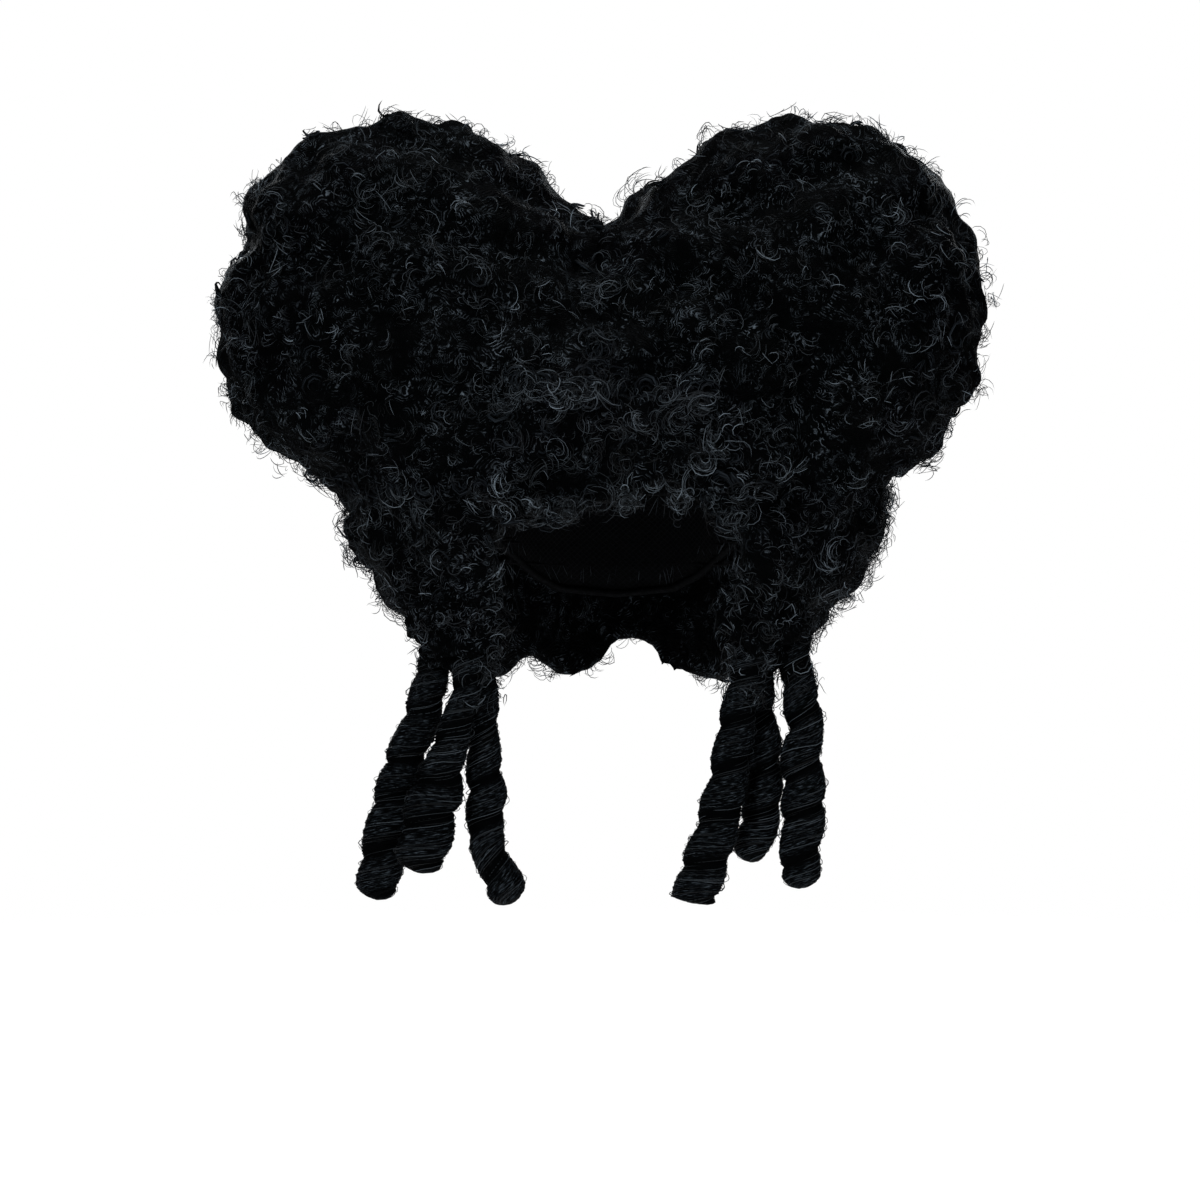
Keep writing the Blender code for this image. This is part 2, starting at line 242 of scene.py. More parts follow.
# Tight curls cut through by a surface: each cell has an axis of its own, and the strands circle it.
def curledStrandsGroup():
    numbers, results = ["Curl Size", "Strand Pitch", "Wildness"], ["Height", "Clump", "Painted Glint"]
    tree, source, sink = group("Curled strands", numbers, results)
    half = (0.5, 0.5, 0.5)
    place = source["Place"]
    drift = noiseNode(tree, place, *curledPattern["drift"])["Color"]
    push = {0: vectorNode(tree, "SUBTRACT", drift, half), "Scale": source["Wildness"]}
    pushed = addNode(tree, "ShaderNodeVectorMath", push, operation="SCALE")
    bent = vectorNode(tree, "ADD", place, pushed.outputs["Vector"])
    cellScale = mathNode(tree, "DIVIDE", 1.0, source["Curl Size"])
    cells = addNode(tree, "ShaderNodeTexVoronoi", {"Vector": bent, "Scale": cellScale}, feature="F1")
    away = vectorNode(tree, "SUBTRACT", bent, cells.outputs["Position"])
    axis = vectorNode(tree, "NORMALIZE", vectorNode(tree, "SUBTRACT", cells.outputs["Color"], half))
    across = vectorNode(tree, "LENGTH", vectorNode(tree, "CROSS_PRODUCT", away, axis))
    ring = mathNode(tree, "DIVIDE", across, source["Strand Pitch"])
    grain = noiseNode(tree, place, *curledPattern["grain"])["Fac"]
    wobbly = mathNode(tree, "ADD", ring, mathNode(tree, "MULTIPLY", grain, curledPattern["grainShare"]))
    wave, finer = (sineNode(tree, wobbly, factor) for factor in curledPattern["waves"])
    waveShare, finerShare = curledPattern["waveShares"]
    height = mathNode(tree, "ADD", weightedSum(tree, wave, waveShare, finer, finerShare), 0.5)
    broken = noiseNode(tree, bent, *curledPattern["broken"])["Fac"]
    # Painted glints: a light colour on the highest parts of the rings, where the noise lets it through.
    high = ramp(tree, height, *curledPattern["paintedGlintHeights"])
    paintedGlint = mathNode(tree, "MULTIPLY", high, ramp(tree, broken, *curledPattern["paintedGlintPlaces"]))
    clump = mathNode(tree, "SUBTRACT", 1.0, cells.outputs["Distance"])
    setInputs(tree, sink, {"Height": height, "Clump": clump, "Painted Glint": paintedGlint})
    return tree


curledStrands = curledStrandsGroup()

woundPattern = {
    "fine": (1.0, 3.0, 0.65),
    "fineShare": 0.6,
    "broad": (0.22, 1.0),
    "broadShare": 0.4,
    "bright": (0.47, 0.66),
}


# Fine lines along a wound or curled lock, read from a map whose first axis runs across the lines.
def woundStrandsGroup():
    tree, source, sink = group("Wound strands", ["Across", "Along"], ["Height", "Tone"])
    split = addNode(tree, "ShaderNodeSeparateXYZ", {0: source["Place"]}).outputs
    scaled = {
        axis: mathNode(tree, "MULTIPLY", split[axis], source[title])
        for axis, title in (("X", "Across"), ("Y", "Along"))
    }
    joined = addNode(tree, "ShaderNodeCombineXYZ", scaled).outputs[0]
    fine, broad = (noiseNode(tree, joined, *woundPattern[size])["Fac"] for size in ("fine", "broad"))
    height = weightedSum(tree, fine, woundPattern["fineShare"], broad, woundPattern["broadShare"])
    # The tone picks out the light lines: a painted sheen on the locks and ringlets, the tape's own ribs on the cap.
    setInputs(tree, sink, {"Height": height, "Tone": ramp(tree, fine, *woundPattern["bright"])})
    return tree


woundStrands = woundStrandsGroup()


# One of the two patterns above, read at a place, with values of its own.
def usePattern(tree, pattern, place, values):
    return addNode(tree, "ShaderNodeGroup", {0: place, **values}, node_tree=pattern).outputs


def newMaterial(name):
    material = bpy.data.materials.new(name)
    material.use_nodes = True
    tree = material.node_tree
    return material, tree, tree.nodes["Principled BSDF"]


# Dark and dull where the tone is low, light and shiny where it is high. On the hair the light colour is a painted
# sheen, on the cap it is the thread's own colour. The height makes the bump.
def applyFinish(tree, shader, finish, tone, height=None):
    values = {
        "Base Color": between(tree, tone, finish["dark"], finish["light"]),
        "Specular IOR Level": finish["specular"],
        "Roughness": finish["dull"],
    }
    if "shiny" in finish:
        reach = mathNode(tree, "MULTIPLY", tone, finish["shiny"] - finish["dull"])
        values["Roughness"] = mathNode(tree, "ADD", reach, finish["dull"])
    if height:
        bump = addNode(tree, "ShaderNodeBump", {"Distance": finish["bump"], "Height": height})
        values["Normal"] = bump.outputs["Normal"]
    setInputs(tree, shader, values)


# Fine lines along each lock, roll or tape, from its own map.
def makeLinedMaterial(name, finish):
    material, tree, shader = newMaterial(name)
    wind = addNode(tree, "ShaderNodeUVMap", uv_map="wind").outputs["UV"]
    lines = usePattern(tree, woundStrands, wind, finish["lines"])
    tone = lines["Tone"]
    if "grooveShadeRange" in finish:
        # On the ringlets the lines are sharpened into painted highlight streaks, and painted shade darkens them
        # towards the grooves between the turns.
        across = addNode(tree, "ShaderNodeSeparateXYZ", {0: wind}).outputs["X"]
        arch = sineNode(tree, mathNode(tree, "FRACT", across), math.pi)
        bright = mathNode(tree, "POWER", tone, finish["contrast"])
        tone = mathNode(tree, "MULTIPLY", bright, ramp(tree, arch, *finish["grooveShadeRange"]))
    applyFinish(tree, shader, finish, tone, lines["Height"])
    return material


strandFinish = {
    "dark": (0.0004, 0.0005, 0.0007, 1.0),
    # The light colour is a painted sheen.
    "light": (0.104, 0.123, 0.142, 1.0),
    "dull": 0.75,
    "shiny": 0.29,
    "specular": 0.1,
}


# Loose hairs: each hair has its own tone between deep black and a cool painted sheen.
def makeStrandMaterial():
    material, tree, shader = newMaterial("black_strand")
    tone = addNode(tree, "ShaderNodeAttribute", attribute_name="tone")
    applyFinish(tree, shader, strandFinish, tone.outputs["Fac"])
    return material


# Curled locks: the light lines along them are a painted sheen.
lockFinish = {
    "dark": (0.0003, 0.0004, 0.0006, 1.0),
    "light": (0.013, 0.016, 0.0195, 1.0),
    "dull": 0.75,
    "shiny": 0.4,
    "specular": 0.025,
    "bump": 0.0006,
    "lines": {"Across": 7.0, "Along": 1.5},
}


massFinish = {
    "dark": (0.0002, 0.0003, 0.0004, 1.0),
    # The light colour is the painted glint on the curls.
    "light": (0.054, 0.064, 0.0745, 1.0),
    "dull": 0.7,
    "shiny": 0.42,
    "specular": 0.014,
    "bump": 0.0012,
    "broadCurls": {"Curl Size": 0.017, "Strand Pitch": 0.0017, "Wildness": 0.009},
    "tightCurls": {"Curl Size": 0.0085, "Strand Pitch": 0.0011, "Wildness": 0.006},
    "shareNoise": (38.0, 2.0),
    "shareRange": (0.42, 0.58),
    "patchNoise": (55.0, 2.0),
    "patchRange": (0.35, 0.62),
    "patchStrength": 1.3,
    "clumpRelief": 1.5,
}


# The dense hair under the loose curls: broad and tight curls, each where a slow noise lets it through, with painted
# glints on the crests of their rings.
def makeMassMaterial():
    material, tree, shader = newMaterial("black_hair_mass")
    place = addNode(tree, "ShaderNodeTexCoord").outputs["Object"]
    broad = usePattern(tree, curledStrands, place, massFinish["broadCurls"])
    tight = usePattern(tree, curledStrands, place, massFinish["tightCurls"])
    slow = noiseNode(tree, place, *massFinish["shareNoise"])["Fac"]
    share = ramp(tree, slow, *massFinish["shareRange"])
    other = mathNode(tree, "SUBTRACT", 1.0, share)
    patchNoise = noiseNode(tree, place, *massFinish["patchNoise"])["Fac"]
    patches = ramp(tree, patchNoise, *massFinish["patchRange"])
    patches = mathNode(tree, "MULTIPLY", patches, massFinish["patchStrength"])

    def blend(title):
        return weightedSum(tree, broad[title], share, tight[title], other)

    # The painted glints are stronger in some slow noise patches and weaker in others.
    paintedGlint = mathNode(tree, "MULTIPLY", blend("Painted Glint"), patches)
    relief = weightedSum(tree, blend("Height"), 1.0, blend("Clump"), massFinish["clumpRelief"])
    applyFinish(tree, shader, massFinish, paintedGlint, relief)
    return material


# The ringlets: lines run round with the wound band as painted highlight streaks, and painted shade keeps the grooves
# between its turns dark.
rollFinish = {
    "dark": (0.0003, 0.0004, 0.0005, 1.0),
    "light": (0.035, 0.0425, 0.0505, 1.0),
    "dull": 0.78,
    "shiny": 0.3,
    "specular": 0.01,
    "bump": 0.0011,
    "contrast": 2.6,
    "lines": {"Across": 52.0, "Along": 13.0},
    "grooveShadeRange": (0.3, 0.85),
}


strandMaterial = makeStrandMaterial()
lockMaterial = makeLinedMaterial("black_curled_lock", lockFinish)
massMaterial = makeMassMaterial()
rollMaterial = makeLinedMaterial("black_wound_hair", rollFinish)
print("materials made")


# The room for the head: half sizes, the height of its top, and the share of them that counts as outside.
headRoom = {"halfWidth": 0.0812, "halfLength": 0.1002, "top": 0.004, "outside": 1.06}
massNodes = ["hair_lobe_right", "hair_lobe_left", "front_hair", "side_hair_right", "side_hair_left", "back_hair"]


def treeOf(names):
    points, faces, start = [], [], 0
    for name in names:
        place = cadPoints(name)
        points.append(place)
        faces.append(cadTriangles(name) + start)
        start += len(place)
    return BVHTree.FromPolygons(np.concatenate(points).tolist(), np.concatenate(faces).tolist())


wholeTree = treeOf(nodes)


# How far a place is from the upright middle line, where 1 is the outside of the head.
def headReach(point):
    return math.hypot(point[0] / headRoom["halfWidth"], point[1] / headRoom["halfLength"])


def insideHead(point):
    return point[2] < headRoom["top"] and headReach(point) < headRoom["outside"]


# A place counts as outer skin where this much room is free above it, measured from just off the skin.
skinTest = {"lift": 0.00005, "room": 0.005}


# Places spread evenly over the outer skin of a node, with their outward directions.
def skinPlaces(name, count, rng):
    points, faces = cadPoints(name), cadTriangles(name)
    a, b, c = points[faces[:, 0]], points[faces[:, 1]], points[faces[:, 2]]
    cross = np.cross(b - a, c - a)
    area = lengths(cross)[:, 0]

    def outside(spot, normal):
        start = Vector(spot + normal * skinTest["lift"])
        hit = wholeTree.ray_cast(start, Vector(normal), skinTest["room"])[0]
        return hit is None and not insideHead(spot)

    places, normals = [], []
    while sum(len(item) for item in places) < count:
        pick = rng.choice(len(faces), size=count, p=area / area.sum())
        r, s = rng.random((2, len(pick), 1))
        flip = (r + s) > 1
        r, s = np.where(flip, 1 - r, r), np.where(flip, 1 - s, s)
        spot = a[pick] + (b - a)[pick] * r + (c - a)[pick] * s
        normal = unit(cross[pick])
        keep = np.array([outside(*pair) for pair in zip(spot, normal)])
        places.append(spot[keep])
        normals.append(normal[keep])
    return np.concatenate(places)[:count], np.concatenate(normals)[:count]


massShape = {
    "voxel": 0.0037,
    "passesBefore": 3,
    "passesAfter": 2,
    "sink": 0.0032,
    "seamReach": 0.009,
    "seamFill": 0.0022,
    "fillReach": 0.005,
    "clumpSpacing": 0.0125,
    "clumpHeight": 0.004,
    "clumpReach": 0.75,
    "grain": 0.001,
    "grainScale": 210.0,
    "freeFrom": 1.04,
    "freeOver": 0.14,
    "hemTop": -0.08,
    "hemGap": 0.006,
    "hemRoom": 0.04,
    "hemSharp": 1.04,
    "hemPasses": 8,
}


# How far each point of a mass moves out: up with its clump and its grain, down where the loose curls
# go, less near other hair, and not at all beside the head.
def massMoves(bm, name, rng, area):
    spacing, seamReach, fillReach = (massShape[key] for key in ("clumpSpacing", "seamReach", "fillReach"))
    others = treeOf([other for other in nodes if other != name and not other.startswith("ringlet_")])
    hairAround = treeOf([other for other in massNodes if other != name])
    tops = skinPlaces(name, int(area / spacing ** 2), rng)[0]
    search = KDTree(len(tops))
    for number, top in enumerate(tops):
        search.insert(top, number)
    search.balance()
    heights = rng.uniform(0.4, 1.0, len(tops)) * massShape["clumpHeight"]
    moves = []
    for vert in bm.verts:
        free = min(1.0, max(0.0, (headReach(vert.co) - massShape["freeFrom"]) / massShape["freeOver"]))
        if vert.co.z > headRoom["top"]:
            free = 1.0
        near = others.find_nearest(vert.co, seamReach)[3]
        sink = massShape["sink"] * (1.0 if near is None else max(0.0, near / seamReach * 1.5 - 0.5))
        _, number, far = search.find(vert.co)
        share = min(1.0, far / (spacing * massShape["clumpReach"]))
        clump = heights[number] * (1 - share * share)
        grain = noise.noise(vert.co * massShape["grainScale"]) * massShape["grain"]
        close = hairAround.find_nearest(vert.co, fillReach)[3]
        fill = 0.0 if close is None else massShape["seamFill"] * (1 - close / fillReach)
        moves.append((clump + grain - sink + fill) * free)
    return moves


# Rounds off the lowest edge, where no hair is below.
def roundHem(bm):
    down = Vector((0, 0, -1))
    gap, room = massShape["hemGap"], massShape["hemRoom"]
    bare = [
        vert
        for vert in bm.verts
        if vert.co.z < massShape["hemTop"] and wholeTree.ray_cast(vert.co + down * gap, down, room)[0] is None
    ]
    for _ in range(massShape["hemPasses"]):
        sharp = [vert for vert in bare if vert.calc_shell_factor() > massShape["hemSharp"]]
        if sharp:
            smoothed(bm, sharp, 1)


# A bumpy closed mass in place of the plain solid of a node.
def makeMass(name, seed):
    rng = np.random.default_rng(seed)
    obj, bm = mergedCopy(name, name + "_mass")
    bm.to_mesh(obj.data)
    bm.free()
    remesh = obj.modifiers.new("remesh", "REMESH")
    remesh.mode = "VOXEL"
    remesh.voxel_size = massShape["voxel"]
    graph = bpy.context.evaluated_depsgraph_get()
    mesh = bpy.data.meshes.new_from_object(obj.evaluated_get(graph))
    obj.modifiers.clear()
    area = sum(face.area for face in mesh.polygons)

    bm = bmesh.new()
    bm.from_mesh(mesh)
    smoothed(bm, bm.verts, massShape["passesBefore"])
    bm.normal_update()
    for vert, move in zip(bm.verts, massMoves(bm, name, rng, area)):
        vert.co += vert.normal * move
    smoothed(bm, bm.verts, massShape["passesAfter"])
    roundHem(bm)
    fillMesh(mesh, bm, massMaterial)
    obj.data = mesh
    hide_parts(name)


for seed, name in enumerate(massNodes):
    makeMass(name, 71 + seed)
print("masses made")


def basis(axis, rng):
    loose = rng.normal(size=axis.shape)
    first = unit(np.cross(axis, loose))
    return first, unit(np.cross(axis, first))


# How much the strands of one lock differ, and how their tones spread. A hair is thinnest at its ends.
curlVariety = {
    "radius": 0.05,
    "start": 0.3,
    "turns": (0.75, 1.05),
    "growth": 0.3,
    "anyPhase": 6.28,
    "wave": (0.07, 2.3),
    "thinEnd": 0.3,
    "ends": (0.02, 0.98),
    "taper": 0.6,
    "patch": (1.3, 38.0),
    "lockTone": (0.4, 1.4),
    "toneSpread": (0.45, 2.1),
}


# Locks that curl in rings on the skin. Each holds a few strands with the same centre, axis and start.
def curlHairs(places, normals, style, rng):
    locks = len(places)
    per = style["perLock"]
    tilt = rng.normal(size=(locks, 3)) * style["tilt"]
    axis = unit(normals + tilt)
    radius = rng.uniform(*style["ringRadius"], size=locks)
    start = rng.uniform(0, 2 * math.pi, size=locks)
    turns = rng.uniform(*style["turns"], size=locks)
    lift = rng.uniform(*style["lift"], size=locks)
    first, second = basis(axis, rng)

    def spread(values):
        return np.repeat(values, per, axis=0)

    count = locks * per
    axis, first, second = spread(axis), spread(first), spread(second)
    ordinal = np.tile(np.arange(per) / max(per - 1, 1), locks)
    nested = spread(radius) * (1 - style["nesting"] * ordinal)
    radius = nested * rng.normal(1.0, curlVariety["radius"], count)
    start = spread(start) + rng.normal(0, curlVariety["start"], count)
    turns = spread(turns) * rng.uniform(*curlVariety["turns"], count)
    centre = spread(places + normals * lift[:, None])
    centre = centre + rng.normal(0, style["looseness"], (count, 3))
    share = np.linspace(0, 1, style["points"])[None, :]
    angle = start[:, None] + share * turns[:, None] * 2 * math.pi
    grow = rng.uniform(-curlVariety["growth"], curlVariety["growth"], (count, 1))
    reach = radius[:, None] * (1 + grow * (share - 0.5) * 2)
    phase = rng.uniform(0, curlVariety["anyPhase"], (count, 1))
    depth, ripples = curlVariety["wave"]
    reach = reach * (1 + depth * np.sin(angle * ripples + phase))
    pitch = rng.normal(0, style["pitch"], (count, 1)) * (share - 0.5)
    paths = (
        centre[:, None, :]
        + first[:, None, :] * (reach * np.cos(angle))[..., None]
        + second[:, None, :] * (reach * np.sin(angle))[..., None]
        + axis[:, None, :] * pitch[..., None]
    )
    thick = rng.uniform(*style["thickness"], size=(count, 1)) / 2
    thin = curlVariety["thinEnd"]
    swell = np.sin(math.pi * np.clip(share, *curlVariety["ends"])) ** curlVariety["taper"]
    radii = thick * (thin + (1 - thin) * swell)
    # The tone sets how much painted sheen a hair gets: at random for each lock and hair, more or less in slow noise
    # patches.
    strength, scale = curlVariety["patch"]
    patch = np.array([1.0 + strength * noise.noise(Vector(place) * scale) for place in places])
    lockTone = rng.uniform(*curlVariety["lockTone"], locks) * patch
    tones = np.clip(spread(lockTone) * rng.beta(*curlVariety["toneSpread"], count), 0, 1)
    return paths, radii, axis, tones


lockStyle = {
    "perLock": 3,
    "ringRadius": (0.0036, 0.0072),
    "nesting": 0.45,
    "turns": (0.7, 1.1),
    "tilt": 0.24,
    "lift": (-0.0048, -0.0018),
    "looseness": 0.0007,
    "pitch": 0.004,
    "thickness": (0.0009, 0.0018),
    "points": 8,
    "sides": 4,
}

hairStyle = {
    "perLock": 6,
    "ringRadius": (0.0034, 0.0092),
    "nesting": 0.45,
    "turns": (0.24, 0.7),
    "tilt": 0.36,
    "lift": (-0.002, 0.0014),
    "looseness": 0.002,
    "pitch": 0.005,
    "thickness": (0.00028, 0.00056),
    "points": 7,
    "sides": 3,
}

# Larger and clearer rings, as over the brow.
fringeStyle = dict(
    hairStyle, perLock=8, ringRadius=(0.005, 0.0105), nesting=0.55, turns=(0.45, 0.95), looseness=0.0012, points=9
)

# Small tight curls that hang at the hairline.
tuftStyle = dict(
    hairStyle, perLock=3, ringRadius=(0.0016, 0.004), turns=(0.6, 1.0), tilt=0.9, lift=(-0.001, 0.002),
    looseness=0.001, thickness=(0.00035, 0.0008), points=9
)

# Short curls round the ringlets' roots.
rootStyle = dict(
    hairStyle, perLock=5, ringRadius=(0.0028, 0.007), turns=(0.35, 0.85), lift=(-0.002, 0.0012),
    thickness=(0.0003, 0.0007)
)


# One piece of curls at the places given: four-sided ones are locks, three-sided ones loose hairs.
def curlPiece(name, places, normals, style, rng, slot="hair"):
    material = lockMaterial if style["sides"] == lockStyle["sides"] else strandMaterial
    obj = hairMesh(name, *curlHairs(places, normals, style, rng), material, style["sides"])


# On each mass: locks, clumps of loose curls, and tufts of loops.
curlCounts = {
    "hair_lobe_right": (210, 570, 250),
    "hair_lobe_left": (210, 570, 250),
    "front_hair": (50, 95, 50),
    "side_hair_right": (60, 180, 75),
    "side_hair_left": (60, 180, 75),
    "back_hair": (90, 230, 110),
}

for seed, (name, (locks, hairs, _)) in enumerate(curlCounts.items()):
    rng = np.random.default_rng(11 + seed)
    curlPiece(name + "_locks", *skinPlaces(name, locks, rng), lockStyle, rng)
    style = fringeStyle if name == "front_hair" else hairStyle
    curlPiece(name + "_curls", *skinPlaces(name, hairs, rng), style, rng)

# Small loops that stand on the skin and show round the outline.
loopStyle = {
    "perTuft": 3,
    "width": (0.0022, 0.0052),
    "rise": (0.002, 0.0058),
    "arc": (-0.25, math.pi * 1.12),
    "root": -0.0012,
    "scatter": 0.0016,
    "tilt": 0.22,
    "twist": 0.25,
    "lean": 0.0016,
    "thickness": (0.00026, 0.00048),
    "points": 7,
    "toneSpread": (0.5, 2.4),
}


def makeLoops(name, tufts, seed):
    rng = np.random.default_rng(seed)
    per, steps = loopStyle["perTuft"], loopStyle["points"]
    places, normals = skinPlaces(name, tufts, rng)
    count = len(places) * per

    def scattered(size):
        return rng.normal(0, size, (count, 3))

    up = unit(np.repeat(normals, per, axis=0) + scattered(loopStyle["tilt"]))
    side = np.repeat(unit(rng.normal(size=places.shape)), per, axis=0)
    across = unit(np.cross(up, side + scattered(loopStyle["twist"])))
    start = np.repeat(places, per, axis=0) + scattered(loopStyle["scatter"]) + up * loopStyle["root"]
    angle = np.linspace(*loopStyle["arc"], steps)[None, :, None]
    width = rng.uniform(*loopStyle["width"], (count, 1, 1))
    rise = rng.uniform(*loopStyle["rise"], (count, 1, 1))
    lean = np.cross(up, across)[:, None, :] * rng.normal(0, loopStyle["lean"], (count, 1, 1))
    paths = (
        start[:, None, :]
        + across[:, None, :] * width * np.cos(angle)
        + up[:, None, :] * rise * np.sin(angle)
        + lean * np.sin(angle)
    )
    radii = rng.uniform(*loopStyle["thickness"], (count, 1)) / 2 * np.ones((1, steps))
    # The tone sets how much painted sheen each loop gets.
    tones = rng.beta(*loopStyle["toneSpread"], count)
    obj = hairMesh(name + "_loops", paths, radii, np.cross(up, across), tones, strandMaterial, 3)


for seed, (name, (_, _, tufts)) in enumerate(curlCounts.items()):
    makeLoops(name, tufts, 91 + seed)

seamCover = {
    "reach": 0.008,
    "tries": 700,
    "clumps": 190,
    "curls": dict(hairStyle, lift=(-0.0005, 0.003), tilt=0.35, ringRadius=(0.0045, 0.01)),
    "locks": dict(lockStyle, lift=(-0.002, 0.001), thickness=(0.0014, 0.0026)),
}


# More curls where one mass meets the next, so that the hair runs on.
def makeSeamCurls(seed):
    rng = np.random.default_rng(seed)
    places, normals = [], []
    for name in massNodes:
        others = treeOf([other for other in massNodes if other != name])
        spots, outward = skinPlaces(name, seamCover["tries"], rng)
        near = np.array([others.find_nearest(Vector(spot), seamCover["reach"])[0] is not None for spot in spots])
        places.append(spots[near])
        normals.append(outward[near])
    places, normals = np.concatenate(places), np.concatenate(normals)
    for kind, most in (("curls", seamCover["clumps"]), ("locks", seamCover["clumps"] // 2)):
        pick = rng.choice(len(places), min(most, len(places)), replace=False)
        curlPiece("seam_" + kind, places[pick], normals[pick], seamCover[kind], rng)


makeSeamCurls(37)

browSeam = {
    "across": (-0.055, 0.055),
    "height": (-0.042, 0.03),
    "middle": -0.0099,
    "level": -0.0303,
    "near": 0.008,
    "clumps": 56,
    "curls": dict(
        hairStyle, perLock=5, lift=(-0.001, 0.0022), ringRadius=(0.004, 0.009), turns=(0.3, 0.8), points=8
    ),
    "locks": dict(lockStyle, lift=(-0.002, 0.0004), thickness=(0.0014, 0.0026)),
}


# Curls over the joins above the brow, where both lobes meet the front hair.
def makeBrowCurls(seed):
    rng = np.random.default_rng(seed)
    hair = treeOf(massNodes)
    places, normals = [], []
    while len(places) < browSeam["clumps"]:
        x, z = rng.uniform(*browSeam["across"]), rng.uniform(*browSeam["height"])
        onLevel = abs(z - browSeam["level"]) < browSeam["near"]
        onMiddle = abs(x - browSeam["middle"]) < browSeam["near"] and z > browSeam["level"]
        spot, normal, _, _ = hair.ray_cast(Vector((x, -0.4, z)), Vector((0, 1, 0)))
        if (onLevel or onMiddle) and spot is not None:
            places.append(spot[:])
            normals.append(unit(np.array(normal) + (0, -1.5, 0)))
    for kind in ("curls", "locks"):
        curlPiece("brow_" + kind, np.array(places), np.array(normals), browSeam[kind], rng)


makeBrowCurls(38)

hemCurls = {
    "nodes": ["back_hair", "side_hair_right", "side_hair_left"],
    "depth": 0.02,
    "tries": 1500,
    "clumps": 45,
    "curls": dict(hairStyle, turns=(0.4, 0.9), ringRadius=(0.003, 0.008), lift=(-0.001, 0.0026)),
}


# Curls that hang from the lowest hair at the back and the sides.
def makeHemCurls(seed):
    rng = np.random.default_rng(seed)
    places, normals = [], []
    for name in hemCurls["nodes"]:
        spots, outward = skinPlaces(name, hemCurls["tries"], rng)
        low = np.flatnonzero(spots[:, 2] < cadPoints(name)[:, 2].min() + hemCurls["depth"])
        places.append(spots[low[: hemCurls["clumps"]]])
        normals.append(outward[low[: hemCurls["clumps"]]])
    curlPiece("hem_curls", np.concatenate(places), np.concatenate(normals), hemCurls["curls"], rng)


makeHemCurls(39)

# Loose curled hair that hides where the ringlets start: middle and half sizes of each cluster.
rootCluster = {
    "right": ((-0.088, -0.059, -0.156), (0.026, 0.023, 0.0265)),
    "left": ((0.08, -0.064, -0.154), (0.024, 0.022, 0.0265)),
    "clumpHeight": 0.0042,
    "broadBumps": (2.6, 1.6),
    "fineBumps": 6.5,
    "curls": 120,
}


def makeRootCluster(side, seed):
    rng = np.random.default_rng(seed)
    middle, half = (np.array(item) for item in rootCluster[side])
    scale, strength = rootCluster["broadBumps"]
    bm = bmesh.new()
    bmesh.ops.create_icosphere(bm, subdivisions=5, radius=1.0)
    for vert in bm.verts:
        way = np.array(vert.co)
        bumps = noise.noise(vert.co * scale + Vector((seed, 0, 0))) * strength
        bumps += noise.noise(vert.co * rootCluster["fineBumps"])
        vert.co = Vector(middle + way * half) + Vector(way) * bumps * rootCluster["clumpHeight"]
    finishPiece(bm, "root_cluster_" + side, massMaterial)
    way = unit(rng.normal(size=(rootCluster["curls"], 3)))
    curlPiece("root_curls_" + side, middle + way * half, way, rootStyle, rng)


makeRootCluster("right", 53)
makeRootCluster("left", 54)

hairline = {
    "tufts": [
        (-0.0256, -0.118, -0.094), (0.0047, -0.119, -0.089),
        (-0.045, -0.112, -0.093), (0.033, -0.115, -0.09),
    ],
    "spread": 0.0034,
    "flatten": (1.0, 0.4, 1.0),
    "curls": 22,
}


def makeTufts(seed):
    rng = np.random.default_rng(seed)
    middles = np.repeat(hairline["tufts"], hairline["curls"], axis=0)
    places = middles + rng.normal(0, hairline["spread"], middles.shape) * hairline["flatten"]
    curlPiece("hairline_tufts", places, np.tile((0.0, -1.0, 0.0), (len(places), 1)), tuftStyle, rng)


makeTufts(31)
print("curls made")


